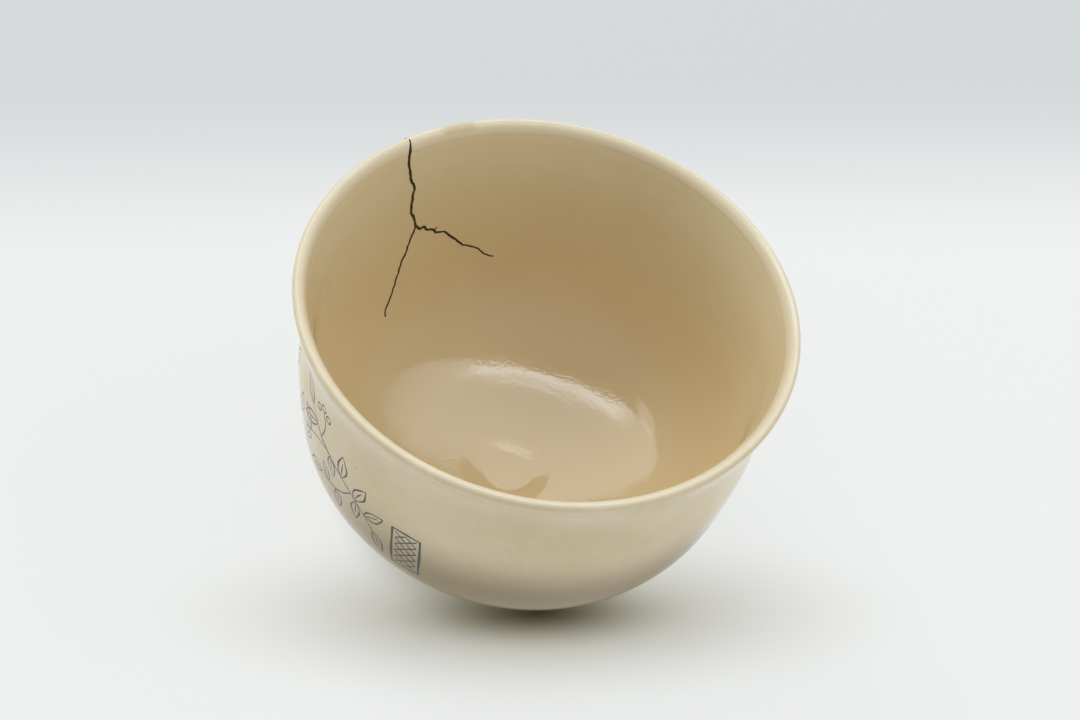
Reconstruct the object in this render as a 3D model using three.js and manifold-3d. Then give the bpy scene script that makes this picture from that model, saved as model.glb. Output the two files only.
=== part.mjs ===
// A thrown stoneware tea bowl with a cracked wall, mended with dark lacquer.
//
// Millimetres, +Z up. The origin is the centre of the foot ring's underside, on the surface that the
// bowl stands on. +Y is the back of the bowl and +X its right. The mend is on the back wall, to the left.

import * as THREE from "three";
import { mergeVertices } from "three/addons/utils/BufferGeometryUtils.js";
import Module from "manifold-3d";

// ---------------------------------------------------------------- driving dimensions

const HEIGHT = 75; // foot to the top of the lip
const RIM_RADIUS = 60; // widest ring of the lip
const LIP_THICKNESS = 3; // the lip is a half-round bead of this diameter
const FOOT_RADIUS = 26; // foot ring, outside
const FOOT_WIDTH = 4.6; // foot ring, across its flat underside and both its rounded edges
const FOOT_HEIGHT = 7; // foot ring, up to the belly
const FOOT_RECESS = 5.5; // hollow under the bowl, inside the foot ring
const FOOT_EDGE = 0.6; // rounding of the foot ring's two lower edges
const FOOT_TAPER = 0.4; // the foot ring narrows by this much towards its underside
const RECESS_FILLET = 2; // soft corner between the recess and the foot ring
const POOL_RADIUS = 8; // shallow tea pool at the centre of the floor
const POOL_DEPTH = 1;
const POOL_STEPS = 3;
const FLOOR_HEIGHT = 13.4; // inside floor above the standing surface, at the edge of the pool

const AROUND = 80; // flat faces round the bowl
const LIP_STEPS = 6; // flat faces over the half-round of the lip

// Outside of the wall, foot to lip: [radius, height]. A full belly rises to an almost upright wall, which
// draws in a little under the flared lip.
const OUTER_WALL = [
  [FOOT_RADIUS, FOOT_HEIGHT],
  [33.5, 9.6],
  [41, 12.9],
  [47, 16.9],
  [51, 22.5],
  [53.5, 29],
  [55.1, 38],
  [56.4, 49],
  [56.4, 59],
  [57.4, 66.5],
  [58.7, 70.7],
  [RIM_RADIUS, HEIGHT - LIP_THICKNESS / 2],
];
const OUTER_STEPS = 12;

// Inside of the wall, lip to the hip where the wall turns into the floor, then the dished floor to the
// pool: [radius, height]. The wall is about 3 mm thick at the lip and 6 mm at the floor.
const INNER_WALL = [
  [RIM_RADIUS - LIP_THICKNESS, HEIGHT - LIP_THICKNESS / 2],
  [55.7, 70.5],
  [54.3, 66],
  [53.3, 59],
  [53.1, 50],
  [51.9, 40],
  [50, 31.5],
  [47.4, 25.5],
  [44.4, 21.6],
  [41.3, 19.3],
  [34, 16.6],
  [24, 14.6],
  [14, 13.6],
  [POOL_RADIUS, FLOOR_HEIGHT],
];
const INNER_STEPS = 14;

// The mend, laid out on the unrolled wall: [millimetres round the wall to the right, height]. One crack
// comes down from the lip and forks.
const MEND_AZIMUTH = THREE.MathUtils.degToRad(-46.8); // from the back towards the right
const UNROLL_RADIUS = 53; // the wall radius at which the millimetres round it are true
const MEND_JUNCTION = [1.8, 48.9];
const CRACK_FROM_LIP = [
  [0.4, 77],
  [0, 74.4],
  [-0.6, 72.9],
  [-1.1, 70.8],
  [-1.1, 69.2],
  [-0.7, 67.2],
  [-0.5, 65.2],
  [0.5, 62.3],
  [0.4, 61.5],
  [0, 60.4],
  [0.1, 58],
  [-0.2, 54.3],
  [1, 52.4],
  [1.4, 50.7],
  MEND_JUNCTION,
];
const CRACK_TO_RIGHT = [
  MEND_JUNCTION,
  [3, 47.5],
  [4.3, 47.7],
  [5.5, 46.2],
  [7.4, 45.4],
  [8, 44.4],
  [10.6, 44],
  [13.6, 40.8],
  [15.8, 38.6],
  [18, 37.6],
  [20.4, 36.4],
  [21.7, 35.4],
  [23.4, 34.3],
  [25.2, 33.8],
];
const CRACK_TO_LEFT = [
  MEND_JUNCTION,
  [0.5, 45.1],
  [-0.4, 42],
  [-1.8, 39.2],
  [-2.9, 35.8],
  [-4.2, 32.7],
  [-6, 29.9],
  [-8.3, 27.6],
  [-9.1, 26.8],
  [-9.3, 25.8],
];
const TRUNK_WIDTH = 0.75; // width of the lacquer line at the lip and at the fork
const BRANCH_WIDTH = 0.6; // at the start of each branch
const TIP_WIDTH = 0.3; // at the end of each branch
const LACQUER_PROUD = 0.15; // how far the lacquer stands above the glaze, inside and out
const CRACK_CLEARANCE = 0.1; // between the lacquer and each side of the crack
const CRACK_INSIDE = 42; // radii that the crack is cut between, well clear of the wall on both sides
const CRACK_OUTSIDE = 64;

// ---------------------------------------------------------------- section of the bowl

function curveThrough(points, steps) {
  const curve = new THREE.SplineCurve(points.map(([radius, height]) => new THREE.Vector2(radius, height)));
  return curve.getSpacedPoints(steps);
}

// Underside of the bowl, from the axis out over the foot ring to the bottom of the belly.
function footProfile() {
  const inside = FOOT_RADIUS - FOOT_WIDTH;
  return [
    new THREE.Vector2(0, FOOT_RECESS),
    new THREE.Vector2(inside - RECESS_FILLET, FOOT_RECESS),
    new THREE.Vector2(inside, FOOT_RECESS - RECESS_FILLET),
    new THREE.Vector2(inside, FOOT_EDGE),
    new THREE.Vector2(inside + FOOT_EDGE, 0),
    new THREE.Vector2(FOOT_RADIUS - FOOT_TAPER - FOOT_EDGE, 0),
    new THREE.Vector2(FOOT_RADIUS - FOOT_TAPER, FOOT_EDGE),
  ];
}

// Half-round bead of the lip, from just past its widest point to just before its inner edge.
function lipProfile() {
  const bead = LIP_THICKNESS / 2;
  const points = [];
  for (let step = 1; step < LIP_STEPS; step += 1) {
    const angle = (Math.PI * step) / LIP_STEPS;
    const radius = RIM_RADIUS - bead + bead * Math.cos(angle);
    points.push(new THREE.Vector2(radius, HEIGHT - bead + bead * Math.sin(angle)));
  }
  return points;
}

// Shallow round-bottomed pool at the centre of the floor, from inside its edge to the axis.
function poolProfile() {
  const points = [];
  for (let step = 1; step <= POOL_STEPS; step += 1) {
    const share = 1 - step / POOL_STEPS;
    points.push(new THREE.Vector2(POOL_RADIUS * share, FLOOR_HEIGHT - POOL_DEPTH * (1 - share * share)));
  }
  return points;
}

// Whole section, counter-clockwise from the axis under the bowl to the axis on its floor.
function bowlSection() {
  return [
    ...footProfile(),
    ...curveThrough(OUTER_WALL, OUTER_STEPS),
    ...lipProfile(),
    ...curveThrough(INNER_WALL, INNER_STEPS),
    ...poolProfile(),
  ];
}

// The same section with its surface moved out by a margin; its two ends stay on the axis.
function grownSection(section, margin) {
  return section.map((point, index) => {
    const before = section[Math.max(index - 1, 0)];
    const after = section[Math.min(index + 1, section.length - 1)];
    const along = after.clone().sub(before).normalize();
    const onAxis = index === 0 || index === section.length - 1;
    const radius = onAxis ? 0 : point.x + along.y * margin;
    return new THREE.Vector2(radius, point.y - along.x * margin);
  });
}

// A LatheGeometry turns about Y, so the section is stood up along Z.
function turned(section) {
  return new THREE.LatheGeometry(section, AROUND).rotateX(Math.PI / 2);
}

// ---------------------------------------------------------------- the crack

// Outline of a line of tapering width along a path, both ends square and moved out by the margin.
function ribbonOutline(path, startWidth, endWidth, margin) {
  const points = path.map(([across, up]) => new THREE.Vector2(across, up));
  const last = points.length - 1;
  const left = [];
  const right = [];
  points.forEach((point, index) => {
    const before = points[Math.max(index - 1, 0)];
    const after = points[Math.min(index + 1, last)];
    const along = after.clone().sub(before).normalize();
    const half = THREE.MathUtils.lerp(startWidth, endWidth, index / last) / 2 + margin;
    const endShift = index === last ? margin : 0;
    const centre = point.clone().addScaledVector(along, endShift);
    const side = new THREE.Vector2(-along.y, along.x).multiplyScalar(half);
    left.push(centre.clone().add(side));
    right.unshift(centre.clone().sub(side));
  });
  return new THREE.Shape([...left, ...right]);
}

// Bends a flat outline round the wall and gives it depth along the radius, from outside to inside.
function throughWall(shape) {
  const geometry = new THREE.ExtrudeGeometry(shape, { depth: 1, bevelEnabled: false });
  const position = geometry.getAttribute("position");
  for (let index = 0; index < position.count; index += 1) {
    const azimuth = MEND_AZIMUTH + position.getX(index) / UNROLL_RADIUS;
    const radius = THREE.MathUtils.lerp(CRACK_OUTSIDE, CRACK_INSIDE, position.getZ(index));
    const height = position.getY(index);
    position.setXYZ(index, radius * Math.sin(azimuth), radius * Math.cos(azimuth), height);
  }
  return geometry;
}

// The three lines of the mend as one solid that passes right through the wall.
function crackSolid(margin) {
  const trunk = throughWall(ribbonOutline(CRACK_FROM_LIP, TRUNK_WIDTH, TRUNK_WIDTH, margin));
  const toRight = throughWall(ribbonOutline(CRACK_TO_RIGHT, BRANCH_WIDTH, TIP_WIDTH, margin));
  const toLeft = throughWall(ribbonOutline(CRACK_TO_LEFT, BRANCH_WIDTH, TIP_WIDTH, margin));
  return toSolid(trunk).add(toSolid(toRight)).add(toSolid(toLeft));
}

// ---------------------------------------------------------------- joining and cutting

const wasm = await Module();
wasm.setup();

function toSolid(geometry) {
  const bare = geometry.clone();
  bare.deleteAttribute("normal");
  bare.deleteAttribute("uv");
  const merged = mergeVertices(bare, 1e-4);
  const vertProperties = new Float32Array(merged.getAttribute("position").array);
  const triVerts = new Uint32Array(merged.getIndex().array);
  return new wasm.Manifold(new wasm.Mesh({ numProp: 3, vertProperties, triVerts }));
}

function toGeometry(solid) {
  const { vertProperties, triVerts } = solid.getMesh();
  const geometry = new THREE.BufferGeometry();
  geometry.setAttribute("position", new THREE.BufferAttribute(vertProperties, 3));
  geometry.setIndex(new THREE.BufferAttribute(triVerts, 1));
  geometry.computeVertexNormals();
  return geometry;
}

// ---------------------------------------------------------------- pieces

// Glazed bowl: the turned section with the crack cut through its wall.
function bowlBody(section) {
  const solid = toSolid(turned(section)).subtract(crackSolid(CRACK_CLEARANCE));
  const glaze = new THREE.MeshStandardMaterial({ color: 0xd8caa6, roughness: 0.25, metalness: 0 });
  const mesh = new THREE.Mesh(toGeometry(solid), glaze);
  mesh.name = "bowl_body";
  return mesh;
}

// Lacquer in the crack: through the wall, over the lip and slightly proud of the glaze.
function lacquerSeam(section) {
  const wall = toSolid(turned(grownSection(section, LACQUER_PROUD)));
  const solid = crackSolid(0).intersect(wall);
  const lacquer = new THREE.MeshStandardMaterial({ color: 0x2b1e12, roughness: 0.4, metalness: 0 });
  const mesh = new THREE.Mesh(toGeometry(solid), lacquer);
  mesh.name = "lacquer_seam";
  return mesh;
}

function teaBowl() {
  const section = bowlSection();
  const group = new THREE.Group();
  group.add(bowlBody(section), lacquerSeam(section));
  return group;
}

export default teaBowl();
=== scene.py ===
"""A thrown tea bowl in cream glaze, its cracked wall mended with dark lacquer.

Shapes are worked out in millimetres up to the point where a mesh is made, which is in metres.
Materials, camera and lights are in metres, apart from a run, which stays in millimetres.
The bowl is a surface of revolution with the slight unevenness of thrown clay. A point on it has an
azimuth, from the back (+Y) towards the right (+X), and a run, the distance along the section from
the middle of the underside, over the foot, the wall and the lip, to the middle of the floor.
"""

import math

import bpy
import numpy as np
from mathutils import Matrix, Vector
from mathutils.geometry import delaunay_2d_cdt


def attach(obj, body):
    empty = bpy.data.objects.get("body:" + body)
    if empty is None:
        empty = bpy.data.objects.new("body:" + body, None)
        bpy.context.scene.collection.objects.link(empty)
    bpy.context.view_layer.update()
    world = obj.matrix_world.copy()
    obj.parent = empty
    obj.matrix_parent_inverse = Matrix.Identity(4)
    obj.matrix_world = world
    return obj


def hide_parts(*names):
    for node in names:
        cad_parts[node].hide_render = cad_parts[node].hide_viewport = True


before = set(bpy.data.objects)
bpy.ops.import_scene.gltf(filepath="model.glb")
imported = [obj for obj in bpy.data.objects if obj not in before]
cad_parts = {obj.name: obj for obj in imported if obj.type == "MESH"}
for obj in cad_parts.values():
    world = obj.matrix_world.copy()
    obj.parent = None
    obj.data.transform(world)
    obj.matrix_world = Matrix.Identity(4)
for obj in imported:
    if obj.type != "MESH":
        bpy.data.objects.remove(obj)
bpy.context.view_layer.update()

MM = 0.001

# ---------------------------------------------------------------- section of the bowl

HEIGHT = 75.0
RIM_RADIUS = 60.0
LIP_THICKNESS = 2.3  # of the small round on its outer side
LIP_INNER_WIDE = 2.7  # half axes of the softer curve on its inner side
LIP_INNER_TALL = 4.2
LIP_INNER_TURN = math.radians(62)
LIP_FLARE = math.radians(24)  # how far the wall leans out where it meets the lip
FOOT_PROFILE = [
    (0, 5.5),
    (19.4, 5.5),
    (21.4, 3.5),
    (21.4, 0.6),
    (22, 0),
    (25, 0),
    (25.6, 0.6),
    (26, 7),
]
OUTER_WALL = [
    (26, 7),
    (33.5, 9.6),
    (41, 12.9),
    (47, 16.9),
    (51, 22.5),
    (53.5, 29),
    (55.1, 38),
    (56.4, 49),
    (56.4, 59),
    (57.4, 66.5),
    (58.7, 70.7),
]
INNER_WALL = [
    (55.8, 70.2),
    (54.7, 66),
    (53.6, 59),
    (52.8, 50),
    (51.7, 40),
    (50, 31.5),
    (47.4, 25.5),
    (44.4, 21.6),
    (41.3, 19.3),
    (34, 16.6),
    (24, 14.6),
    (14, 13.6),
    (8, 13.3),
    (0, 13.2),
]
FINE = 0.1  # spacing of the points that the section is worked out on
# How far each stretch of the section is softened, which rounds its corners off.
FOOT_SOFTNESS = 0.28
OUTER_SOFTNESS = 1.3
LIP_SOFTNESS = 0.16
INNER_LIP_SOFTNESS = 0.8
INNER_SOFTNESS = 1.5


def lengths(points):
    """Distance along a polyline to each of its points."""
    steps = np.hypot(*np.diff(points, axis=0).T)
    return np.concatenate([[0.0], np.cumsum(steps)])


def evenly(points, spacing=FINE):
    """The same polyline with points at this spacing."""
    points = np.array(points, float)
    along = lengths(points)
    at = np.linspace(0, along[-1], int(along[-1] / spacing) + 2)
    return np.column_stack([np.interp(at, along, points[:, i]) for i in (0, 1)])


def spline(points):
    """A natural cubic curve through the points."""
    points = np.array(points, float)
    along = lengths(points)
    gaps = np.diff(along)
    count = len(points)
    system = np.eye(count)
    pull = np.zeros((count, 2))
    for i in range(1, count - 1):
        system[i, i - 1 : i + 2] = gaps[i - 1], 2 * (gaps[i - 1] + gaps[i]), gaps[i]
        before = (points[i] - points[i - 1]) / gaps[i - 1]
        after = (points[i + 1] - points[i]) / gaps[i]
        pull[i] = 6 * (after - before)
    bend = np.linalg.solve(system, pull)
    at = np.linspace(0, along[-1], int(along[-1] / (FINE / 2)))
    span = np.clip(np.searchsorted(along, at) - 1, 0, count - 2)
    gap = gaps[span][:, None]
    left = ((along[span + 1] - at) / gaps[span])[:, None]
    right = 1 - left
    curve = left * points[span] + right * points[span + 1]
    curve += gap**2 / 6 * ((left**3 - left) * bend[span] + (right**3 - right) * bend[span + 1])
    return evenly(curve)


def lip_arcs():
    """The rounded lip: a small round out of the flared wall, then a softer one to the inner wall."""
    half = LIP_THICKNESS / 2
    turn = np.linspace(-LIP_FLARE, math.pi / 2, 40)
    outer = np.column_stack([half * np.cos(turn), half * np.sin(turn) - half])
    turn = np.linspace(0, LIP_INNER_TURN, 40)[1:]
    inner = np.column_stack([-LIP_INNER_WIDE * np.sin(turn), LIP_INNER_TALL * (np.cos(turn) - 1)])
    top = (RIM_RADIUS - half, HEIGHT)
    return evenly(outer + top), evenly(np.vstack([outer[-1:], inner]) + top)


def softened(points, softness):
    """The polyline with each point drawn to its neighbours, over its own distance."""
    pad = 60  # points on either side that can draw on one
    mirror = np.array([-1, 1])
    whole = np.vstack([points[pad:0:-1] * mirror, points, points[-2 : -pad - 2 : -1] * mirror])
    spread = np.concatenate([softness[pad:0:-1], softness, softness[-2 : -pad - 2 : -1]])
    along = lengths(whole)
    result = np.empty_like(points)
    for i in range(len(points)):
        here = slice(i, i + 2 * pad + 1)
        weight = np.exp(-(((along[here] - along[i + pad]) / spread[i + pad]) ** 2) / 2)
        result[i] = weight @ whole[here] / weight.sum()
    result[0, 0] = 0
    result[-1, 0] = 0
    return result


def fine_section():
    """Radius and height at every fine step, the run there, and the index just past each stretch."""
    lip, inner_lip = lip_arcs()
    stretches = [
        (evenly(FOOT_PROFILE), FOOT_SOFTNESS),
        (spline([*OUTER_WALL, tuple(lip[0])]), OUTER_SOFTNESS),
        (lip, LIP_SOFTNESS),
        (inner_lip, INNER_LIP_SOFTNESS),
        (spline([tuple(inner_lip[-1]), *INNER_WALL]), INNER_SOFTNESS),
    ]
    # Each stretch starts where the one before it ends, so that point is left out.
    outlines = [stretches[0][0], *(points[1:] for points, soft in stretches[1:])]
    counts = [len(points) for points in outlines]
    soft = np.repeat([soft for points, soft in stretches], counts)
    window = np.hanning(21)
    eased = np.convolve(np.pad(soft, 10, "edge"), window / window.sum(), "valid")
    points = softened(np.vstack(outlines), np.minimum(eased, soft))
    return points, lengths(points), np.cumsum(counts)


SECTION, RUN, PART_ENDS = fine_section()
FOOT_END = RUN[PART_ENDS[0] - 1]
LIP_TOP = RUN[int(np.argmax(SECTION[:, 1]))]

# The tea pool, a shallow dent in the floor.
POOL_PLACE = (-0.5, -1.5)
POOL_BOTTOM = (6.2, 6.4, 4.0, 7.6)  # its flat bottom, to the left, right, back and front of its middle
POOL_EDGE = (12.5, 11.0, 9.0, 12.5)  # its edge, likewise
POOL_DEPTH = 0.58
POOL_TILT = 0.02  # its bottom falls by this share towards the front
POOL_EASE = 0.1  # its flank is nearly straight, and this much softer at both ends
POOL_REACH = 16  # no part of it is further than this from the bowl's axis


def uneven(azimuth, run):
    """How far thrown clay stands off the true section, in slow waves, throwing rings and small bumps."""
    slow = 0.05 * np.sin(2 * azimuth + 0.9) * np.sin(run / 38)
    slow += 0.03 * np.sin(3 * azimuth - run / 31 + 2.0)
    rings = 0.005 * np.sin(run * 2 * math.pi / 7.3 + 1.7 * np.sin(azimuth + 0.4))
    rings += 0.002 * np.sin(run * 2 * math.pi / 4.3 - 2.1 * np.sin(azimuth - 1.1))
    small = 0.003 * np.sin(5 * azimuth + run / 5.1) * np.sin(run / 9.0 + 2 * np.sin(2 * azimuth))
    near_axis = np.minimum(run, RUN[-1] - run)
    calm = np.clip(near_axis / 12, 0, 1) * np.clip((run - FOOT_END) / 6, 0, 1)
    at_lip = np.clip(np.abs(run - LIP_TOP) / 8, 0.25, 1)
    return (slow + (rings + small) * at_lip) * calm


def pool(x, y):
    """Depth of the tea pool that the thrower's finger left, a little off the centre of the floor."""
    across = x - POOL_PLACE[0]
    back = y - POOL_PLACE[1]
    away = np.hypot(across, back)
    size = np.maximum(away, 1e-6)
    reach = []
    for left, right, behind, front in (POOL_BOTTOM, POOL_EDGE):
        wide = np.where(across < 0, left, right)
        deep = np.where(back < 0, front, behind)
        reach.append(1 / np.hypot(across / size / wide, back / size / deep))
    share = np.clip((away - reach[0]) / (reach[1] - reach[0]), 0, 1)
    climb = share - POOL_EASE * np.sin(2 * math.pi * share) / (2 * math.pi)
    return (POOL_DEPTH - POOL_TILT * back) * (1 - climb)


def on_section(run):
    """Radius, height and outward normal of the true section at these runs."""
    step = 0.15
    radius = np.interp(run, RUN, SECTION[:, 0])
    height = np.interp(run, RUN, SECTION[:, 1])
    ahead = np.clip(run + step, 0, RUN[-1])
    behind = np.clip(run - step, 0, RUN[-1])
    along_r = np.interp(ahead, RUN, SECTION[:, 0]) - np.interp(behind, RUN, SECTION[:, 0])
    along_z = np.interp(ahead, RUN, SECTION[:, 1]) - np.interp(behind, RUN, SECTION[:, 1])
    length = np.hypot(along_r, along_z)
    return radius, height, along_z / length, -along_r / length


def bowl_point(azimuth, run, proud=0.0):
    """Places on the bowl's surface, in millimetres."""
    azimuth, run = np.broadcast_arrays(np.asarray(azimuth, float), np.asarray(run, float))
    radius, height, out, up = on_section(run)
    off = uneven(azimuth, run) + proud
    within = (run > RUN[-1] - POOL_REACH) & (radius < POOL_REACH)
    off = off - np.where(within, pool(radius * np.sin(azimuth), radius * np.cos(azimuth)), 0)
    ring = radius + out * off
    return np.stack([ring * np.sin(azimuth), ring * np.cos(azimuth), height + up * off], axis=-1)


def bowl_normal(azimuth, run):
    """Surface normals at those places, from points a little to each side."""
    turn = 0.004
    step = 0.2
    around = bowl_point(azimuth - turn, run) - bowl_point(azimuth + turn, run)
    low = np.clip(run - step, 0, RUN[-1])
    high = np.clip(run + step, 0, RUN[-1])
    along = bowl_point(azimuth, high) - bowl_point(azimuth, low)
    normal = np.cross(around, along)
    size = np.linalg.norm(normal, axis=-1, keepdims=True)
    return normal / np.maximum(size, 1e-12)


def run_at_height(height, outside=True):
    """The run at which the outer or the inner wall passes these heights."""
    top = int(np.argmax(SECTION[:, 1]))
    if outside:
        stretch = slice(PART_ENDS[0] - 1, top + 1)
        return np.interp(height, SECTION[stretch, 1], RUN[stretch])
    stretch = slice(top, len(RUN))
    return np.interp(height, SECTION[stretch, 1][::-1], RUN[stretch][::-1])


# ---------------------------------------------------------------- rows and columns of the mesh

AROUND = 240
COLUMN_TURN = 2 * math.pi / AROUND
ROW_GAP = 1.4  # longest step between two rows
FLOOR_ROW_GAP = 0.6  # the same round the tea pool
FLOOR_REACH = 13  # how far from the axis that is
ROW_TURN = math.radians(8)  # most that the section turns between two rows


def rows_of_mesh():
    """The runs of the mesh's rows, closer together where the section bends."""
    out, up = on_section(RUN)[2:]
    turn = np.abs(np.diff(np.unwrap(np.arctan2(up, out))))
    gap = np.where(RUN[1:] > RUN[-1] - FLOOR_REACH, FLOOR_ROW_GAP, ROW_GAP)
    density = np.diff(RUN) / gap + turn / ROW_TURN
    total = np.concatenate([[0.0], np.cumsum(density)])
    count = int(math.ceil(total[-1]))
    return np.interp(np.linspace(0, total[-1], count + 1), total, RUN)


ROWS = rows_of_mesh()
UNDER_POLE = (len(ROWS) - 2) * AROUND  # number of the vertex in the middle of the underside
FLOOR_POLE = UNDER_POLE + 1

# ---------------------------------------------------------------- ink drawing

INK_RADIUS = 56.4  # millimetres round the wall are true at this radius
INK_AZIMUTH = math.radians(225)  # the drawing's zero; its x runs to the right, its y up the wall
INK_FOOT = FOOT_END  # the run at which the drawing's y is zero
PEN = 0.54  # usual width of an ink line
BRUSH_STEP = 0.5
RIB_PEN = PEN * 0.75
BERRY_PEN = PEN * 0.9

STEMS = [  # points of each and its width
    ([(14.6, 43.5), (10.5, 48.5), (5.5, 52.5), (0, 55.5), (-6, 58.5), (-12, 63.5)], 0.55),
    ([(-3, 57), (-9, 55.5), (-15, 52), (-21, 51.5), (-28, 54.5)], 0.5),
    ([(7, 51.4), (3.5, 47.5), (-1, 45.2), (-6, 44.8)], 0.5),
    ([(-6, 58.5), (-5, 63), (-6.5, 67)], 0.42),
    ([(-28, 54.5), (-36, 58.5), (-44, 59), (-51, 55.5)], 0.5),
]
LEAVES = [  # base, angle in degrees, length, width and bend
    ((14.6, 43.5), -62, 7.5, 3.0, -0.1),
    ((11.6, 47.3), 28, 7.5, 3.2, 0.15),
    ((8.4, 50.2), 70, 8.0, 3.4, -0.12),
    ((8.9, 49.8), -98, 7.0, 3.0, 0.12),
    ((3.4, 53.8), 84, 7.5, 3.4, 0.12),
    ((1.0, 46.0), -75, 6.5, 3.0, -0.1),
    ((-6, 44.8), 196, 7.5, 3.2, 0.12),
    ((-2.2, 45.0), 120, 6.0, 2.8, -0.1),
    ((-1.5, 56.3), -82, 6.5, 3.0, 0.1),
    ((-8.5, 60.4), 200, 8.5, 3.4, 0.12),
    ((-12, 63.5), 128, 8.0, 3.4, -0.12),
    ((-12, 53.8), 118, 7.0, 3.2, 0.1),
    ((-13, 53.2), 252, 7.5, 3.2, -0.12),
    ((-20, 51.5), 80, 7.0, 3.2, 0.1),
    ((-22, 51.6), 232, 7.5, 3.2, 0.1),
    ((-31, 56.2), 76, 7.5, 3.4, -0.1),
    ((-33, 57.2), 244, 7.5, 3.2, 0.12),
    ((-42, 59.1), 112, 7.0, 3.2, 0.1),
    ((-43, 59.0), 258, 7.0, 3.2, -0.1),
    ((-51, 55.5), 214, 8.0, 3.4, 0.12),
]
BERRIES = [  # centre and radius
    ((-6.6, 68.0), 1.05),
    ((-4.2, 66.6), 0.95),
    ((-8.9, 66.4), 0.95),
    ((-28.5, 51.9), 1.0),
    ((-26.2, 50.4), 1.0),
]
SEAL_SIDES = (20.6, 28.3)  # x of its left and right sides
SEAL_ENDS = (35.8, 52.2)  # y of its foot and head
SEAL_PEN = 0.72
LATTICE_PEN = 0.46
LATTICE_INSET = 0.9
LATTICE_CELLS = (2, 5)  # across and up


def bent(points, steps=14):
    """A smooth stroke through a few points."""
    points = np.array(points, float)
    padded = np.vstack([2 * points[0] - points[1], points, 2 * points[-1] - points[-2]])
    stroke = []
    for i in range(1, len(padded) - 2):
        before, start, end, after = padded[i - 1 : i + 3]
        t = np.linspace(0, 1, steps, endpoint=False)[:, None]
        flow = 2 * start + (end - before) * t
        flow += (2 * before - 5 * start + 4 * end - after) * t**2
        flow += (3 * start - before - 3 * end + after) * t**3
        stroke.append(flow / 2)
    return np.vstack([*stroke, points[-1:]])


def ribbon(stroke, widths):
    """The outline of a line of these widths along a stroke, counter-clockwise."""
    along = np.gradient(stroke, axis=0)
    along /= np.maximum(np.linalg.norm(along, axis=1, keepdims=True), 1e-9)
    side = np.column_stack([-along[:, 1], along[:, 0]]) * np.asarray(widths)[:, None] / 2
    return np.vstack([stroke - side, (stroke + side)[::-1]])


def brush(points, width=PEN, taper=0.35, steps=14):
    """One brush line, thinner at its ends, its pressure wavering along it."""
    stroke = evenly(bent(points, steps), BRUSH_STEP)
    share = np.linspace(0, 1, len(stroke))
    press = taper + (1 - taper) * np.sin(np.pi * np.clip(share, 0.02, 0.98)) ** 0.5
    press *= 1 + 0.16 * np.sin(9 * share + stroke[0, 0])
    return ribbon(stroke, width * press)


def leaf(base, angle, length, width, bend):
    """A leaf in outline with its midrib, from its base."""
    base = np.array(base, float)
    turn = math.radians(angle)
    ahead = np.array([math.cos(turn), math.sin(turn)])
    aside = np.array([-ahead[1], ahead[0]])

    def spot(forward, sideways):
        curl = bend * forward**2
        return base + ahead * forward * length + aside * (sideways * width + curl * length)

    upper = [spot(0, 0), spot(0.22, 0.38), spot(0.5, 0.5), spot(0.8, 0.27), spot(1.03, 0)]
    lower = [spot(0, 0), spot(0.25, -0.36), spot(0.55, -0.5), spot(0.82, -0.24), spot(1, 0)]
    rib = [spot(0.1, 0), spot(0.4, 0.03), spot(0.72, 0)]
    return [brush(upper), brush(lower), brush(rib, RIB_PEN)]


def berry(centre, radius):
    """A small round berry, drawn as two half circles that meet with a slight overlap."""
    centre = np.array(centre, float)
    halves = []
    for start in (0, 180):
        turn = np.radians(np.linspace(start - 4, start + 184, 7))
        circle = centre + radius * np.column_stack([np.cos(turn), np.sin(turn)])
        halves.append(brush(circle, BERRY_PEN, 0.7, 5))
    return halves


def leafy_spray():
    """A climbing spray of leaves and berries, from beside the seal round to the hidden side."""
    shapes = [brush(points, width) for points, width in STEMS]
    for base, angle, length, width, bend in LEAVES:
        shapes += leaf(base, angle, length, width, bend)
    for centre, radius in BERRIES:
        shapes += berry(centre, radius)
    return shapes


def seal_frame():
    """The seal's upright frame, four strokes that cross a little at the corners."""
    left, right = SEAL_SIDES
    low, high = SEAL_ENDS
    middle = (left + right) / 2
    waist = (low + high) / 2
    lines = [
        [(left - 0.2, low), (middle, low - 0.1), (right + 0.2, low)],
        [(right, low - 0.2), (right + 0.1, waist), (right - 0.1, high + 0.1)],
        [(right + 0.1, high), (middle, high + 0.1), (left - 0.1, high)],
        [(left, high + 0.2), (left - 0.1, waist), (left, low - 0.2)],
    ]
    return [brush(line, SEAL_PEN, 0.85, 6) for line in lines]


def seal_lattice():
    """The diamond lattice inside the frame: two crossing strokes in each cell."""
    left, right = SEAL_SIDES
    low, high = SEAL_ENDS
    columns, rows = LATTICE_CELLS
    wide = (right - left - 2 * LATTICE_INSET) / columns
    tall = (high - low - 2 * LATTICE_INSET) / rows
    shapes = []
    for row in range(rows):
        base = low + LATTICE_INSET + row * tall
        for column in range(columns):
            side = left + LATTICE_INSET + column * wide
            middle = (side + wide / 2, base + tall / 2)
            rising = [(side, base), middle, (side + wide, base + tall)]
            falling = [(side + wide, base), middle, (side, base + tall)]
            shapes += [brush(line, LATTICE_PEN, 0.8, 5) for line in (rising, falling)]
    return shapes


def ink_to_bowl(points):
    """Azimuth and run of points of the drawing."""
    points = np.asarray(points, float)
    return INK_AZIMUTH - points[:, 0] / INK_RADIUS, INK_FOOT + points[:, 1]


# ---------------------------------------------------------------- the bowl's mesh

GLAZE_SLOT = 0
INK_SLOT = 1
INK_TOLERANCE = 1e-5  # points of the drawing closer than this become one


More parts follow.
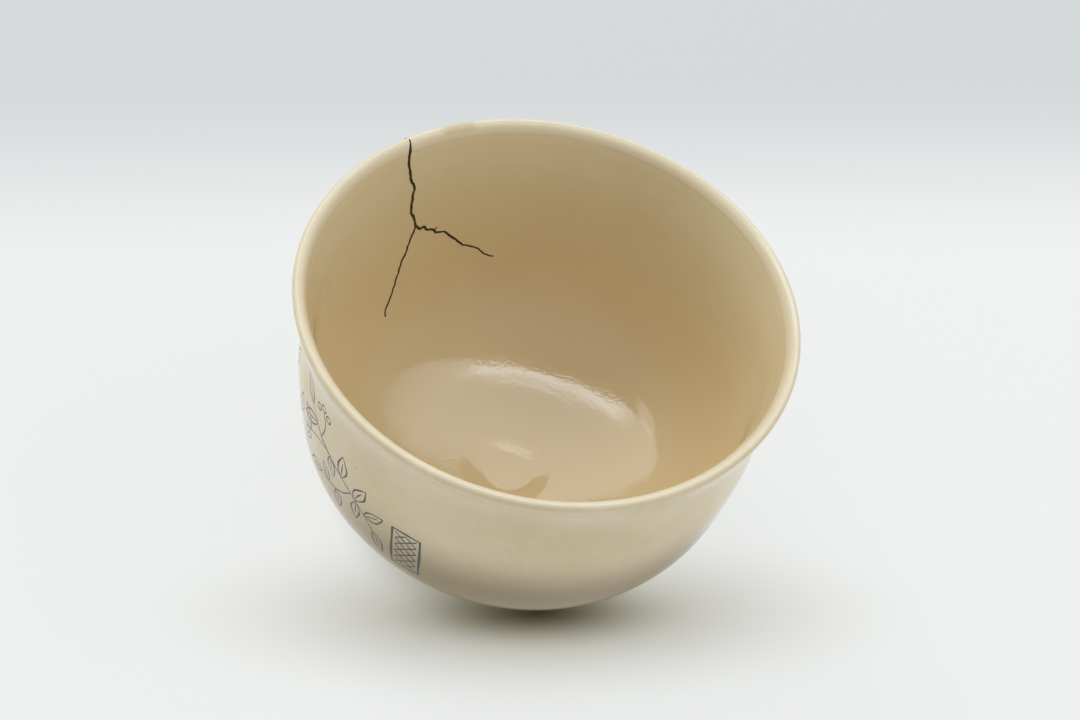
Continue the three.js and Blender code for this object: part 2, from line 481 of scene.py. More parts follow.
def patch_limits(shapes):
    """First and last column and lowest and highest row of the grid round the drawing."""
    azimuth, run = ink_to_bowl(np.vstack(shapes))
    first = int(math.floor(azimuth.min() / COLUMN_TURN)) - 1
    last = int(math.ceil(azimuth.max() / COLUMN_TURN)) + 1
    low = int(np.searchsorted(ROWS, run.min())) - 2
    high = int(np.searchsorted(ROWS, run.max())) + 2
    return first, last, low, high


def counter_clockwise(outline):
    """The same outline, turned round if it runs clockwise."""
    x, y = outline[:, 0], outline[:, 1]
    area = np.sum(x * np.roll(y, -1) - y * np.roll(x, -1))
    return outline if area > 0 else outline[::-1]


def window_border(wide, tall):
    """Pairs of neighbours round a window this many points wide and this many steps tall."""
    border = list(range(wide))
    border += [row * wide + wide - 1 for row in range(1, tall + 1)]
    border += [tall * wide + column for column in range(wide - 2, -1, -1)]
    border += [row * wide for row in range(tall - 1, 0, -1)]
    return list(zip(border, border[1:] + border[:1]))


def ink_patch(shapes, limits):
    """Fills the window: places as azimuth and run, triangles, which are ink, and each point's origins."""
    first, last, low, high = limits
    columns = range(first, last + 1)
    grid = [(column * COLUMN_TURN, ROWS[row]) for row in range(low, high + 1) for column in columns]
    flat = [Vector((-azimuth * INK_RADIUS, run)) for azimuth, run in grid]
    edges = window_border(len(columns), high - low)
    faces = []
    for outline in shapes:
        azimuth, run = ink_to_bowl(outline)
        outline = counter_clockwise(np.column_stack([-azimuth * INK_RADIUS, run]))
        faces.append(list(range(len(flat), len(flat) + len(outline))))
        flat += [Vector(point) for point in outline]
    made = delaunay_2d_cdt(flat, edges, faces, 0, INK_TOLERANCE, True)
    places = np.array([(-point.x / INK_RADIUS, point.y) for point in made[0]])
    triangles = [list(face) for face in made[2]]
    inked = [bool(owners) for owners in made[5]]
    origins = [[i for i in owners if i < len(grid)] for owners in made[3]]
    return places, triangles, inked, origins


def grid_vertex(row, column):
    """Number of the vertex where this row and column cross."""
    return (row - 1) * AROUND + column % AROUND


def grid_places():
    """Azimuth and run of the grid's vertices, row by row, and of the two poles."""
    azimuth, run = np.meshgrid(np.arange(AROUND) * COLUMN_TURN, ROWS[1:-1])
    azimuth = np.concatenate([azimuth.ravel(), [0.0, 0.0]])
    run = np.concatenate([run.ravel(), [ROWS[0], ROWS[-1]]])
    return azimuth, run


def grid_faces(limits):
    """The grid's faces, apart from the window that the drawing lies in, and the fans round the poles."""
    first, end, low, high = limits
    window = {column % AROUND for column in range(first, end)}
    faces = []
    for row in range(1, len(ROWS) - 2):
        for column in range(AROUND):
            if low <= row < high and column in window:
                continue
            here = grid_vertex(row, column)
            beside = grid_vertex(row, column + 1)
            faces.append((here, here + AROUND, beside + AROUND, beside))
    last = len(ROWS) - 2
    for column in range(AROUND):
        faces.append((UNDER_POLE, grid_vertex(1, column), grid_vertex(1, column + 1)))
        faces.append((FLOOR_POLE, grid_vertex(last, column + 1), grid_vertex(last, column)))
    return faces


def patch_vertices(places, origins, limits):
    """The bowl's number for each point of the patch, and the places of those that are new to it."""
    first, last, low, high = limits
    wide = last - first + 1
    numbers = []
    added = []
    for place, owners in zip(places, origins):
        if owners:
            row, column = divmod(owners[0], wide)
            numbers.append(grid_vertex(low + row, first + column))
        else:
            numbers.append(FLOOR_POLE + 1 + len(added))
            added.append(place)
    return numbers, np.array(added)


def bowl_mesh():
    """The bowl as one closed mesh, with the ink as faces of it, flush with the glaze."""
    shapes = leafy_spray() + seal_frame() + seal_lattice()
    limits = patch_limits(shapes)
    faces = grid_faces(limits)
    slots = [GLAZE_SLOT] * len(faces)
    places, triangles, inked, origins = ink_patch(shapes, limits)
    numbers, added = patch_vertices(places, origins, limits)
    faces += [tuple(numbers[i] for i in triangle) for triangle in triangles]
    slots += [INK_SLOT if ink else GLAZE_SLOT for ink in inked]
    azimuth, run = grid_places()
    azimuth = np.concatenate([azimuth, added[:, 0]])
    run = np.concatenate([run, added[:, 1]])

    mesh = bpy.data.meshes.new("glazed_bowl")
    mesh.from_pydata((bowl_point(azimuth, run) * MM).tolist(), [], faces)
    mesh.polygons.foreach_set("material_index", np.array(slots, np.int32))
    mesh.shade_smooth()
    normals = bowl_normal(azimuth, run)
    normals[UNDER_POLE] = (0, 0, -1)
    normals[FLOOR_POLE] = (0, 0, 1)
    mesh.normals_split_custom_set_from_vertices(normals.tolist())
    measure = mesh.attributes.new("run", "FLOAT", "POINT")
    measure.data.foreach_set("value", run.astype(np.float32))
    mesh.validate()
    return mesh


# ---------------------------------------------------------------- the mend

# The crack is laid out flat: x runs to the right along the inner wall, y is the height.
MEND_AZIMUTH = math.radians(-46.8)  # where its x is zero
UNROLL_RADIUS = 53.0  # millimetres along the wall are true at this radius
MEND_JUNCTION = (1.8, 48.9)
CRACK_FROM_LIP = [
    (0.4, 74.999),
    (0, 74.4),
    (-0.6, 72.9),
    (-1.1, 70.8),
    (-1.1, 69.2),
    (-0.7, 67.2),
    (-0.5, 65.2),
    (0.5, 62.3),
    (0.4, 61.5),
    (0, 60.4),
    (0.1, 58),
    (-0.2, 54.3),
    (1, 52.4),
    (1.4, 50.7),
    MEND_JUNCTION,
]
CRACK_TO_RIGHT = [
    MEND_JUNCTION,
    (3, 47.5),
    (4.3, 47.7),
    (5.5, 46.2),
    (7.4, 45.4),
    (8, 44.4),
    (10.6, 44),
    (13.6, 40.8),
    (15.8, 38.6),
    (18, 37.6),
    (20.4, 36.4),
    (21.7, 35.4),
    (23.4, 34.3),
    (25.2, 33.8),
]
CRACK_TO_LEFT = [
    MEND_JUNCTION,
    (0.5, 45.1),
    (-0.4, 42),
    (-1.8, 39.2),
    (-2.9, 35.8),
    (-4.2, 32.7),
    (-6, 29.9),
    (-8.3, 27.6),
    (-9.1, 26.8),
    (-9.3, 25.8),
]
CRACK_SPUR = [(7.2, 45.5), (7.8, 46.0), (8.3, 46.2)]
CRACK_ARMS = [  # path, width at its start and at its end, seed of its jogs
    (CRACK_FROM_LIP, 0.82, 0.82, 11),
    (CRACK_TO_RIGHT, 0.88, 0.46, 12),
    (CRACK_TO_LEFT, 0.74, 0.54, 13),
    (CRACK_SPUR, 0.5, 0.2, 14),
]
CRACK_STEP = 0.42
JOG = 0.15  # usual size of a jog to the side
SWELL = 0.22  # usual share by which the width varies
LACQUER_PROUD = 0.15
LACQUER_SUNK = 0.03  # how deep its edges lie in the glaze
ACROSS = (-1.0, -0.62, 0.0, 0.62, 1.0)  # points over the width of the lacquer line
LIP_MARGIN = 0.004  # at the very top of the lip a height doesn't tell the run
# Distances below the lip, and the share of the crack's width and of the ridge's height there.
LIP_NARROWING = ((0, 0.5, 1.6), (0.4, 0.5, 1.0))
LIP_LOWERING = ((0.0, 2.0), (0.35, 1.0))
MEND_TOLERANCE = 1e-4  # points of the crack closer than this become one
TOP_TOLERANCE = 1e-3  # points this close to the top of the lip lie on it


def directions(line):
    """Unit vectors along a line and to its left, at each of its points."""
    along = np.gradient(line, axis=0)
    along /= np.linalg.norm(along, axis=1, keepdims=True)
    return along, np.column_stack([-along[:, 1], along[:, 0]])


def crack_line(path, start_width, end_width, seed):
    """Centre line and half width of one crack, with the small jogs and swellings of a real break."""
    chance = np.random.default_rng(seed)
    line = evenly(path, CRACK_STEP)
    share = np.linspace(0, 1, len(line))
    side = directions(line)[1]
    jog = np.convolve(chance.normal(0, JOG, len(line) + 2), [0.25, 0.5, 0.25], "valid")
    fade = np.clip(np.minimum(share, 1 - share) * 20, 0, 1)
    line = line + side * (jog * fade)[:, None]
    swell = chance.normal(0, SWELL, len(line) + 4)
    swell = np.convolve(swell, [0.1, 0.25, 0.3, 0.25, 0.1], "valid")
    width = (start_width + (end_width - start_width) * share) * np.clip(1 + swell, 0.7, 1.4)
    width *= np.interp(HEIGHT - line[:, 1], *LIP_NARROWING)
    return line, width / 2


def to_depth(points):
    """Crack points with their height changed to the distance below the top of the lip, inside."""
    points = np.array(points, float)
    run = run_at_height(np.minimum(points[:, 1], HEIGHT - LIP_MARGIN), outside=False)
    points[:, 1] = -np.maximum(run - LIP_TOP, 0)
    return points


def crack_outline(line, half):
    """The outline of one arm and the points inside it, laid out flat, none above the lip."""
    along, side = directions(line)
    lanes = [line + side * half[:, None] * share for share in ACROSS]
    tip = line[-1] + along[-1] * half[-1]
    outline = counter_clockwise(np.vstack([lanes[0], [tip], lanes[-1][::-1]]))
    inner = np.vstack(lanes[1:-1])
    outline[:, 1] = np.minimum(outline[:, 1], 0)
    inner[:, 1] = np.minimum(inner[:, 1], 0)
    return outline, inner


def dome(points, arms):
    """From 0 at the edge of the lacquer to 1 at its middle."""
    best = np.zeros(len(points))
    for line, half in arms:
        start, end = line[:-1], line[1:]
        step = end - start
        length = np.maximum((step**2).sum(1), 1e-12)
        share = ((points[:, None] - start) * step).sum(2) / length
        share = np.clip(share, 0, 1)
        gap = np.linalg.norm(points[:, None] - (start + share[..., None] * step), axis=2)
        wide = half[:-1] + share * (half[1:] - half[:-1])
        best = np.maximum(best, (1 - (gap / wide) ** 2).max(1))
    return np.sqrt(np.clip(best, 0, 1))


def lacquer_sheet(arms):
    """The whole crack laid out flat: its points, its triangles and the edges round it."""
    flat = []
    faces = []
    for line, half in arms:
        outline, inner = crack_outline(line, half)
        faces.append(list(range(len(flat), len(flat) + len(outline))))
        flat += [Vector(point) for point in outline]
        flat += [Vector(point) for point in inner]
    made = delaunay_2d_cdt(flat, [], faces, 0, MEND_TOLERANCE, True)
    kept = [list(face) for face, owners in zip(made[2], made[5]) if owners]
    used = sorted({i for face in kept for i in face})
    numbers = {old: new for new, old in enumerate(used)}
    spots = np.array([tuple(point) for point in made[0]])[used]
    triangles = [[numbers[i] for i in face] for face in kept]
    sides = dict.fromkeys((face[i], face[(i + 1) % 3]) for face in triangles for i in range(3))
    rim = [edge for edge in sides if edge[::-1] not in sides]
    return spots, triangles, rim


def lacquer_rise(spots, arms, at_edge):
    """How far the lacquer stands off the glaze: sunk at its edge, domed between, lower near the lip."""
    rise = dome(spots, arms) * (LACQUER_PROUD + LACQUER_SUNK) - LACQUER_SUNK
    rise[at_edge] = -LACQUER_SUNK
    return rise * np.interp(-spots[:, 1], *LIP_LOWERING)


def lacquer_mesh():
    """The lacquer as one closed solid: a ridge on each face of the wall, joined over the lip and
    through the wall along its edge."""
    arms = [(to_depth(line), half) for line, half in (crack_line(*arm) for arm in CRACK_ARMS)]
    spots, triangles, rim = lacquer_sheet(arms)
    at_top = spots[:, 1] > -TOP_TOLERANCE
    at_edge = np.isin(np.arange(len(spots)), rim) & ~at_top
    rise = lacquer_rise(spots, arms, at_edge)
    azimuth = MEND_AZIMUTH + spots[:, 0] / UNROLL_RADIUS
    inner_run = LIP_TOP - spots[:, 1]
    outer_run = run_at_height(np.interp(inner_run, RUN, SECTION[:, 1]))
    inside = bowl_point(azimuth, np.where(at_top, LIP_TOP, inner_run), rise)
    # Just outside the lip's crest the first step is long and straight, and dips under the glaze.
    outside = bowl_point(azimuth, np.where(at_top, LIP_TOP, outer_run), rise)

    twin = [i if top else len(spots) + i for i, top in enumerate(at_top)]
    faces = [tuple(face) for face in triangles]
    faces += [tuple(twin[i] for i in face[::-1]) for face in triangles]
    for start, end in rim:
        if not (at_top[start] and at_top[end]):
            loop = [end, start, twin[start], twin[end]]
            faces.append(tuple(dict.fromkeys(loop)))
    mesh = bpy.data.meshes.new("lacquer_mend")
    mesh.from_pydata((np.vstack([inside, outside]) * MM).tolist(), [], faces)
    mesh.validate()
    return mesh


# ---------------------------------------------------------------- materials


class Nodes:
    """The node tree of a material or a light, built by short calls."""

    def __init__(self, owner):
        self.owner = owner
        owner.use_nodes = True
        self.tree = owner.node_tree
        self.shader = self.tree.nodes.get("Principled BSDF")
        self.place = self.add("ShaderNodeTexCoord").outputs["Object"]

    def add(self, kind, **settings):
        node = self.tree.nodes.new(kind)
        for name, value in settings.items():
            setattr(node, name, value)
        return node

    def join(self, value, socket):
        """Feeds a socket from another one, or with a plain value."""
        if isinstance(value, bpy.types.NodeSocket):
            self.tree.links.new(value, socket)
        else:
            socket.default_value = value

    def set(self, **values):
        """Feeds the shader's sockets, by their names."""
        for name, value in values.items():
            self.join(value, self.shader.inputs[name.replace("_", " ")])

    def math(self, operation, *values, clamp=False):
        node = self.add("ShaderNodeMath", operation=operation, use_clamp=clamp)
        for value, socket in zip(values, node.inputs):
            self.join(value, socket)
        return node.outputs[0]

    def plus(self, first, second):
        return self.math("ADD", first, second)

    def minus(self, first, second):
        return self.math("SUBTRACT", first, second)

    def times(self, first, second):
        return self.math("MULTIPLY", first, second)

    def x_and_y(self, vector):
        node = self.add("ShaderNodeSeparateXYZ")
        self.join(vector, node.inputs[0])
        return node.outputs[0], node.outputs[1]

    def along(self, place, direction):
        """How far an x and y lie in a level direction."""
        return self.plus(self.times(place[0], direction[0]), self.times(place[1], direction[1]))

    def length(self, vector):
        node = self.add("ShaderNodeVectorMath", operation="LENGTH")
        self.tree.links.new(vector, node.inputs[0])
        return node.outputs["Value"]

    def noise(self, scale, detail=3.0, roughness=0.5):
        """Noise with features of about 1 / scale metres."""
        node = self.add("ShaderNodeTexNoise")
        self.tree.links.new(self.place, node.inputs["Vector"])
        node.inputs["Scale"].default_value = scale
        node.inputs["Detail"].default_value = detail
        node.inputs["Roughness"].default_value = roughness
        return node.outputs["Fac"]

    def ramp(self, value, low, high, start=0.0, end=1.0):
        """A smooth change from start to end, as the value goes from low to high."""
        node = self.add("ShaderNodeMapRange", interpolation_type="SMOOTHSTEP")
        for number, name in zip((low, high, start, end), ("From Min", "From Max", "To Min", "To Max")):
            node.inputs[name].default_value = number
        self.join(value, node.inputs["Value"])
        return node.outputs[0]

    def fade(self, value, low, high, start=1.0):
        """The same from start down to nothing."""
        return self.ramp(value, low, high, start, 0.0)

    def mix(self, share, first, second, blend="MIX"):
        node = self.add("ShaderNodeMix", data_type="RGBA", blend_type=blend)
        for value, index in ((share, 0), (first, 6), (second, 7)):
            self.join(value, node.inputs[index])
        return node.outputs[2]

    def attribute(self, name):
        return self.add("ShaderNodeAttribute", attribute_name=name).outputs["Fac"]

    def bump(self, height, strength, distance, under=None):
        """Relief in the shading, over the relief under it."""
        node = self.add("ShaderNodeBump")
        node.inputs["Strength"].default_value = strength
        node.inputs["Distance"].default_value = distance
        self.tree.links.new(height, node.inputs["Height"])
        if under is not None:
            self.tree.links.new(under, node.inputs["Normal"])
        return node.outputs[0]


def rgb(red, green, blue):
    """A colour given as 0 to 255 in sRGB."""
    linear = []
    for value in (red, green, blue):
        value /= 255
        linear.append(value / 12.92 if value <= 0.04045 else ((value + 0.055) / 1.055) ** 2.4)
    return (*linear, 1.0)


# Stretches of the run over which the colour changes: the glaze's own, and the painted shade low on the
# outside.
BARE_END = (FOOT_END + 1.2, FOOT_END + 2.2)  # from the bare clay of the foot to the glaze
BELLY_SHADE_END = (FOOT_END + 22, FOOT_END + 64)  # from the painted shade low on the belly to the wall
FRONT_SHADE_END = (FOOT_END + 36, FOOT_END + 59)  # the same for the stronger painted shade at the front
INSIDE_START = (LIP_TOP - 0.6, LIP_TOP + 3.0)
DEEPENING = (LIP_TOP + 4, LIP_TOP + 60)
BODY_TONES = (rgb(222, 206, 172), rgb(214, 196, 158))
GRAIN_TONE = rgb(205, 184, 142)
INSIDE_TONE = rgb(212, 197, 159)  # near the lip
DEEP_TONE = rgb(212, 190, 146)  # down to the floor
MOTTLE_TONE = rgb(209, 185, 145)
# Painted shade low on the outside, strongest at the front.
BELLY_SHADE_TONE = rgb(150, 127, 76)
FRONT_SHADE_TONE = rgb(116, 95, 48)
FRONT_SHADE_FACING = (0.26, -0.966)  # level direction that the painted shade at the front faces
# Paler lip and crest: partly thinner glaze, partly a painted highlight.
LIP_PALE_AND_HIGHLIGHT_TONE = rgb(230, 230, 216)
CREST_PALE_AND_HIGHLIGHT_TONE = rgb(228, 228, 214)
DULL_TONE = rgb(186, 166, 116)
DULL_AZIMUTH = math.radians(-33)  # a spot of the lip where the glaze is rubbed dull
CLAY_TONES = (rgb(188, 162, 126), rgb(168, 140, 104))
SPECK_TONE = rgb(128, 92, 52)
SPECK_CELLS = 90  # per metre
SPECK_CHOICE = 0.56  # cells whose own random value is above this have a speck


def body_tone(nodes, run, grain):
    """The glaze's own cream, cloudy outside and mottled and a little deeper inside."""
    tone = nodes.mix(nodes.ramp(nodes.noise(45, 4, 0.55), 0.3, 0.7), *BODY_TONES)
    tone = nodes.mix(nodes.ramp(grain, 0.35, 0.75, 0.0, 0.25), tone, GRAIN_TONE)
    inner = nodes.mix(nodes.ramp(run, *DEEPENING), INSIDE_TONE, DEEP_TONE)
    mottle = nodes.ramp(nodes.noise(38, 3, 0.5), 0.42, 0.68, 0.0, 0.4)
    inner = nodes.mix(mottle, inner, MOTTLE_TONE)
    return nodes.mix(nodes.ramp(run, *INSIDE_START), tone, inner)


def painted_belly_shade(nodes, tone, run, place):
    """Painted shade: darker and warmer low on the outside, most of all at the front."""
    tone = nodes.mix(nodes.fade(run, *BELLY_SHADE_END, 0.6), tone, BELLY_SHADE_TONE)
    front = nodes.ramp(nodes.along(place, FRONT_SHADE_FACING), 0.015, 0.055)
    return nodes.mix(nodes.times(front, nodes.fade(run, *FRONT_SHADE_END, 0.82)), tone, FRONT_SHADE_TONE)


def pale_lip_and_highlight(nodes, tone, run, past_lip, from_crest):
    """Paler on the lip's inner side and on its crest: partly thinner glaze, partly a painted highlight.
    """
    pale = nodes.fade(past_lip, 0.4, 7.0, 0.18)
    pale = nodes.times(pale, nodes.ramp(run, LIP_TOP - 1.2, LIP_TOP - 0.4))
    tone = nodes.mix(pale, tone, LIP_PALE_AND_HIGHLIGHT_TONE)
    return nodes.mix(nodes.fade(from_crest, 0.3, 1.4, 0.25), tone, CREST_PALE_AND_HIGHLIGHT_TONE)


def dull_spot(nodes, place, from_crest):
    """1 where the lip is rubbed dull, with a ragged edge."""
    off = nodes.math("ABSOLUTE", nodes.minus(nodes.math("ARCTAN2", *place), DULL_AZIMUTH))
    off = nodes.plus(off, nodes.math("MULTIPLY_ADD", nodes.noise(700, 3), 0.06, -0.03))
    return nodes.times(nodes.fade(off, 0.06, 0.085), nodes.fade(from_crest, 1.3, 2.6))


def specked(nodes, tone):
    """A few small iron specks, one at most in each cell."""
    cells = nodes.add("ShaderNodeTexVoronoi")
    cells.inputs["Scale"].default_value = SPECK_CELLS
    nodes.tree.links.new(nodes.place, cells.inputs["Vector"])
    chosen = nodes.math("GREATER_THAN", cells.outputs["Color"], SPECK_CHOICE)
    dot = nodes.fade(cells.outputs["Distance"], 0.008, 0.03)
    return nodes.mix(nodes.times(nodes.times(chosen, dot), 0.6), tone, SPECK_TONE)


def cream_glaze():
    """Glossy cream glaze from the foot to the floor, over a foot of bare clay."""
    nodes = Nodes(bpy.data.materials.new("cream_glaze"))
    place = nodes.x_and_y(nodes.place)
    run = nodes.attribute("run")
    past_lip = nodes.minus(run, LIP_TOP)
    from_crest = nodes.math("ABSOLUTE", past_lip)
    grain = nodes.noise(420, 3, 0.6)
    dull = dull_spot(nodes, place, from_crest)
    bare = nodes.fade(run, *BARE_END)

    tone = body_tone(nodes, run, grain)
    # painted shade low on the outside, strongest at the front
    tone = painted_belly_shade(nodes, tone, run, place)
    # paler lip and crest, partly thinner glaze and partly a painted highlight
    tone = pale_lip_and_highlight(nodes, tone, run, past_lip, from_crest)
    tone = nodes.mix(nodes.times(dull, 0.5), tone, DULL_TONE)
    tone = nodes.mix(bare, tone, nodes.mix(nodes.ramp(grain, 0.3, 0.7), *CLAY_TONES))
    nodes.set(Base_Color=specked(nodes, tone))

    ripple = nodes.bump(nodes.noise(130, 2, 0.4), 0.10, 0.0004)
    nodes.set(Normal=nodes.bump(nodes.noise(1100, 2, 0.5), 0.15, 0.00012, ripple))
    rough = nodes.ramp(nodes.noise(60, 3), 0.3, 0.7, 0.055, 0.085)
    rough = nodes.plus(rough, nodes.times(dull, 0.45))
    nodes.set(Roughness=nodes.math("ADD", rough, nodes.times(bare, 0.6), clamp=True))
    nodes.set(IOR=1.5)
    return nodes.owner


def grey_ink():
    """Brush ink under the glaze, nearly black."""
    nodes = Nodes(bpy.data.materials.new("grey_ink"))
    nodes.set(Base_Color=rgb(44, 41, 40))
    nodes.set(Roughness=nodes.ramp(nodes.noise(800, 3), 0.3, 0.7, 0.16, 0.3))
    return nodes.owner


def dark_lacquer():
    """Satin lacquer, a very dark brown, with a fine uneven surface."""
    nodes = Nodes(bpy.data.materials.new("dark_lacquer"))
    tone = nodes.noise(500, 3, 0.6)
    nodes.set(Base_Color=nodes.mix(nodes.ramp(tone, 0.3, 0.75), rgb(24, 15, 7), rgb(50, 30, 12)))
    nodes.set(Roughness=nodes.ramp(nodes.noise(1500, 2), 0.3, 0.7, 0.3, 0.5))
    nodes.set(Normal=nodes.bump(nodes.noise(2200, 3), 0.3, 0.0001))
    return nodes.owner


PAPER_TONE = rgb(238, 240, 239)
PAPER_GLOW = 0.85  # share of the paper's brightness that is its own light
SHADE_PLACE = (0.0151, -0.0340)  # middle of the soft shadow under the front of the belly
SHADE_TURN = 0.301
SHADE_STRETCH = 3.51  # the shadow is this much wider than deep
SHADE_CORE = (-0.0175, 0.0408)  # distances over which its dark middle fades
SHADE_REACH = 0.105  # distance to its end
SHADE_DEPTH = 0.89
SHADE_LEAST = 0.015  # brightness in its darkest place
SHADE_POWERS = (0.88, 0.94, 1.15)  # of red, green and blue, which make it warm
FOOT_SHADE = (0.024, 0.046)  # radii between which the shadow round the foot fades
FOOT_LEAST = 0.28
FAR_FACING = (-0.343, 0.939)  # level direction of the painted dimming of the paper
FAR_START = (0.075, 0.150)
FAR_TONE = rgb(211, 215, 216)


def shadow(nodes):
    """Brightness of the paper, from 1 down to nearly nothing under the belly."""
    turned = nodes.add("ShaderNodeMapping", vector_type="TEXTURE")
    nodes.tree.links.new(nodes.place, turned.inputs[0])
    turned.inputs["Location"].default_value = (*SHADE_PLACE, 0)
    turned.inputs["Rotation"].default_value = (0, 0, SHADE_TURN)
    turned.inputs["Scale"].default_value = (1, 1 / SHADE_STRETCH, 1)
    away = nodes.length(turned.outputs[0])
    core = nodes.ramp(away, *SHADE_CORE)
    reach = nodes.math("SUBTRACT", 1.0, nodes.math("DIVIDE", away, SHADE_REACH), clamp=True)
    wide = nodes.math("MULTIPLY_ADD", nodes.times(reach, reach), -SHADE_DEPTH, 1.0)
    foot = nodes.ramp(nodes.length(nodes.place), *FOOT_SHADE, FOOT_LEAST, 1.0)
    lit = nodes.times(nodes.times(core, wide), foot)
    return nodes.math("MULTIPLY_ADD", lit, 1 - SHADE_LEAST, SHADE_LEAST)


def pale_floor():
    """White paper sweep: bright all over, with a painted shadow close to the foot and a little painted
    dimming far behind.
    """
    nodes = Nodes(bpy.data.materials.new("pale_floor"))
    far = nodes.ramp(nodes.along(nodes.x_and_y(nodes.place), FAR_FACING), *FAR_START)
    tone = nodes.mix(far, PAPER_TONE, FAR_TONE)
    lit = shadow(nodes)
    warm = nodes.add("ShaderNodeCombineXYZ")
    for power, socket in zip(SHADE_POWERS, warm.inputs):
        nodes.join(nodes.math("POWER", lit, power), socket)
    tone = nodes.mix(1.0, tone, warm.outputs[0], "MULTIPLY")
    nodes.set(Base_Color=nodes.mix(PAPER_GLOW, tone, (0, 0, 0, 1)))
    nodes.set(Emission_Color=tone)
    nodes.set(Emission_Strength=PAPER_GLOW)
    nodes.set(Roughness=0.8)
    nodes.set(Specular_IOR_Level=0.0)
    return nodes.owner


# ---------------------------------------------------------------- pieces


def add_piece(name, mesh, materials, node):
    """Puts a mesh in the scene in place of a node of the frame."""
    piece = bpy.data.objects.new(name, mesh)
    bpy.context.scene.collection.objects.link(piece)
    for material in materials:
        mesh.materials.append(material)
    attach(piece, "root")
    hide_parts(node)


FLOOR_HALF = 4.0


def add_floor():
    """The sweep that the bowl stands on."""
    mesh = bpy.data.meshes.new("floor")
    corners = [(-1, -1, 0), (1, -1, 0), (1, 1, 0), (-1, 1, 0)]
    mesh.from_pydata([Vector(corner) * FLOOR_HALF for corner in corners], [], [(0, 1, 2, 3)])
    mesh.materials.append(pale_floor())
    floor = bpy.data.objects.new("floor", mesh)
    bpy.context.scene.collection.objects.link(floor)


# ---------------------------------------------------------------- camera and light

CAMERA_PLACE = Vector((0, -0.39861, 0.51588))
CAMERA_TARGET = Vector((0.001012, 0, 0.05364))
CAMERA_ROLL = math.radians(13.827)  # the photo's bowl leans sideways by this angle
LIGHT_TARGET = Vector((0, 0, 0.03))
LIGHT_DISTANCE = 1.2
# Soft lights: azimuth from the back towards the right, elevation, half angle, all in degrees, and
# brightness. Here and below a brightness of 1 is display white.
SOFT_LIGHTS = [
    ("fill_right", 90, 40, 16, 2.85),
    ("fill_left", 315, 40, 16, 6.0),
    ("front", 225, 40, 16, 0.5),
    ("above_left", 240, 65, 18, 1.65),
    ("behind_right", 45, 40, 16, 1.5),
]
# The softbox over the back of the bowl, which only shows in reflections, and what is lit of it: an oval
# panel with one corner cut off, a bright band along the panel's near edge, and a flap beside it.
SOFTBOX_PLACE = Vector((-0.005, 0.40, 0.50))
SOFTBOX_SIZE = (0.54, 0.52)
SOFTBOX_TINT = (0.89, 1.0, 1.08)
PANEL_PLACE = (-0.005, 0.328)
PANEL_HALF = (0.235, 0.142)
PANEL_BRIGHTNESS = 2.3
CUT_START = 0.402  # y of the cut, where x is zero
CUT_SLOPE = 0.40
BAND_BRIGHTNESS = 5.2  # on top of the panel's own
BAND_END = (0.255, 0.275)  # in y
BAND_LEFT = (-0.15, -0.10)
BAND_RIGHT = (0.05, 0.09)
FLAP_PLACE = (-0.213, 0.215)
FLAP_HALF = (0.047, 0.066)


def add_camera():
    """The photo's view, rolled so that the upright bowl seems to lean as it does there."""
    data = bpy.data.cameras.new("camera")
    data.lens = 85
    data.sensor_width = 36
    data.clip_start = 0.05
    camera = bpy.data.objects.new("camera", data)
    bpy.context.scene.collection.objects.link(camera)
    ahead = (CAMERA_TARGET - CAMERA_PLACE).normalized()
    level = ahead.cross(Vector((0, 0, 1))).normalized()
    above = level.cross(ahead)
    right = level * math.cos(CAMERA_ROLL) + above * math.sin(CAMERA_ROLL)
    up = right.cross(ahead)
    turn = Matrix((right, up, -ahead)).transposed().to_4x4()
    camera.matrix_world = Matrix.Translation(CAMERA_PLACE) @ turn
    bpy.context.scene.camera = camera


def add_area(name, place, target, size, brightness, shape="ELLIPSE", reflected=True, lights=True):
    """A flat light of this size in metres and this brightness, 1 being display white."""
    data = bpy.data.lights.new(name, "AREA")
    data.shape = shape
    data.size = size[0]
    data.size_y = size[1]
    area = size[0] * size[1] * (math.pi / 4 if shape == "ELLIPSE" else 1)
    data.energy = brightness * math.pi * area
    light = bpy.data.objects.new(name, data)
    bpy.context.scene.collection.objects.link(light)
    light.location = place
    light.rotation_mode = "QUATERNION"
    light.rotation_quaternion = (Vector(target) - Vector(place)).to_track_quat("-Z", "Y")
    light.visible_camera = False
    light.visible_glossy = reflected
    light.visible_diffuse = lights
    return light


def add_soft_lights():
    """Round lamps that light the bowl but don't show in its glaze."""
    for name, azimuth, elevation, half_angle, brightness in SOFT_LIGHTS:
        turn, rise = math.radians(azimuth), math.radians(elevation)
        level = math.cos(rise)
        toward = Vector((level * math.sin(turn), level * math.cos(turn), math.sin(rise)))
        place = LIGHT_TARGET + toward * LIGHT_DISTANCE
        width = 2 * LIGHT_DISTANCE * math.tan(math.radians(half_angle))
        add_area(name, place, LIGHT_TARGET, (width, width), brightness, reflected=False)


def add_softbox():
    """The box whose reflection lies on the floor of the bowl."""
    under = SOFTBOX_PLACE * Vector((1, 1, 0))
    box = add_area("softbox", SOFTBOX_PLACE, under, SOFTBOX_SIZE, 1.0, "RECTANGLE", lights=False)
    box.data.color = SOFTBOX_TINT
    shape_softbox(Nodes(box.data))


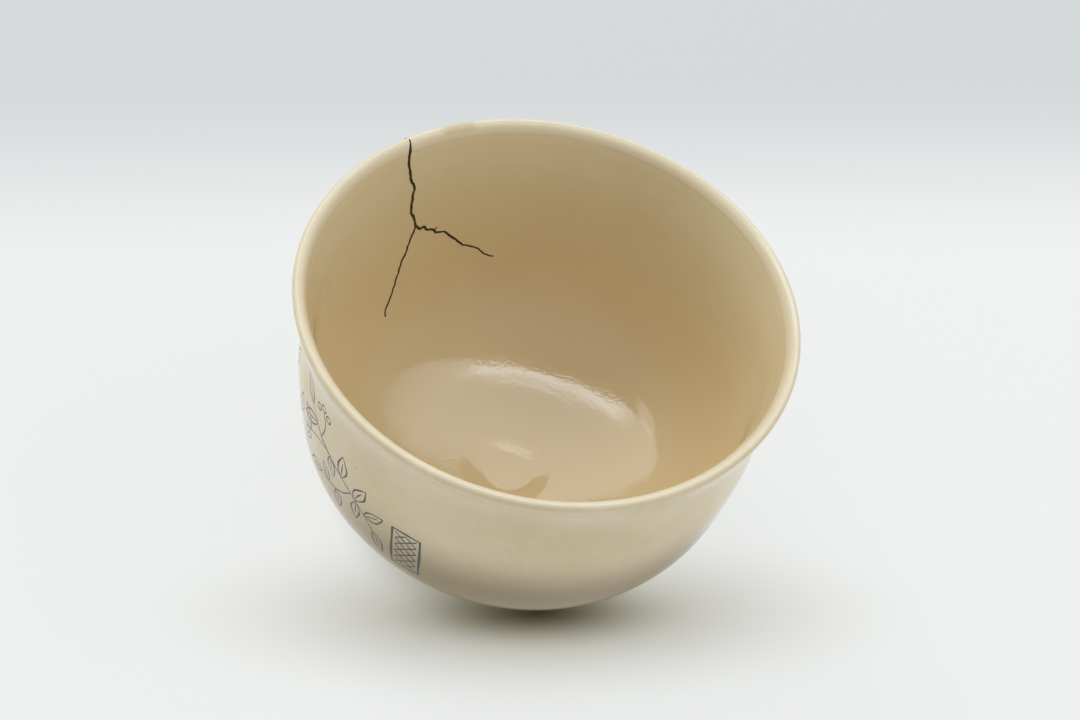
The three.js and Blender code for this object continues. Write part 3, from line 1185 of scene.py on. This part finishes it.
def oval(nodes, place, middle, half):
    """Distance from an oval's middle, 1 at its edge."""
    shares = []
    for at, centre, reach in zip(place, middle, half):
        shares.append(nodes.math("POWER", nodes.math("DIVIDE", nodes.minus(at, centre), reach), 2.0))
    return nodes.math("SQRT", nodes.plus(*shares))


def shape_softbox(nodes):
    """Lights the softbox's panel, the band along its near edge and its flap."""
    place = nodes.x_and_y(nodes.add("ShaderNodeNewGeometry").outputs["Position"])
    x, y = place
    from_middle = oval(nodes, place, PANEL_PLACE, PANEL_HALF)
    whole = nodes.fade(from_middle, 0.975, 1.02)
    beyond = nodes.minus(y, nodes.math("MULTIPLY_ADD", x, CUT_SLOPE, CUT_START))
    corner = nodes.times(nodes.ramp(beyond, -0.003, 0.003), nodes.ramp(x, -0.018, -0.010))
    panel = nodes.times(whole, nodes.minus(1.0, corner))
    panel = nodes.times(panel, nodes.ramp(x, 0.08, 0.235, 1.0, 0.2))
    band = nodes.times(whole, nodes.ramp(from_middle, 0.60, 0.86))
    band = nodes.times(band, nodes.fade(y, *BAND_END))
    band = nodes.times(band, nodes.times(nodes.ramp(x, *BAND_LEFT), nodes.fade(x, *BAND_RIGHT)))
    flap = nodes.fade(oval(nodes, place, FLAP_PLACE, FLAP_HALF), 0.80, 1.05)
    total = nodes.plus(nodes.times(panel, PANEL_BRIGHTNESS), nodes.times(band, BAND_BRIGHTNESS))
    total = nodes.plus(total, nodes.times(flap, PANEL_BRIGHTNESS * 0.9))
    nodes.tree.links.new(total, nodes.tree.nodes["Emission"].inputs["Strength"])


def add_light():
    """An even studio, its lamps and its softbox."""
    world = bpy.data.worlds.new("studio")
    world.use_nodes = True
    background = world.node_tree.nodes["Background"]
    background.inputs["Color"].default_value = (0.97, 0.985, 1.0, 1)
    background.inputs["Strength"].default_value = 0.45
    bpy.context.scene.world = world
    add_soft_lights()
    add_softbox()
    bpy.context.scene.view_settings.view_transform = "Standard"


add_camera()
add_light()
add_floor()
add_piece("glazed_bowl", bowl_mesh(), [cream_glaze(), grey_ink()], "bowl_body")
add_piece("lacquer_mend", lacquer_mesh(), [dark_lacquer()], "lacquer_seam")
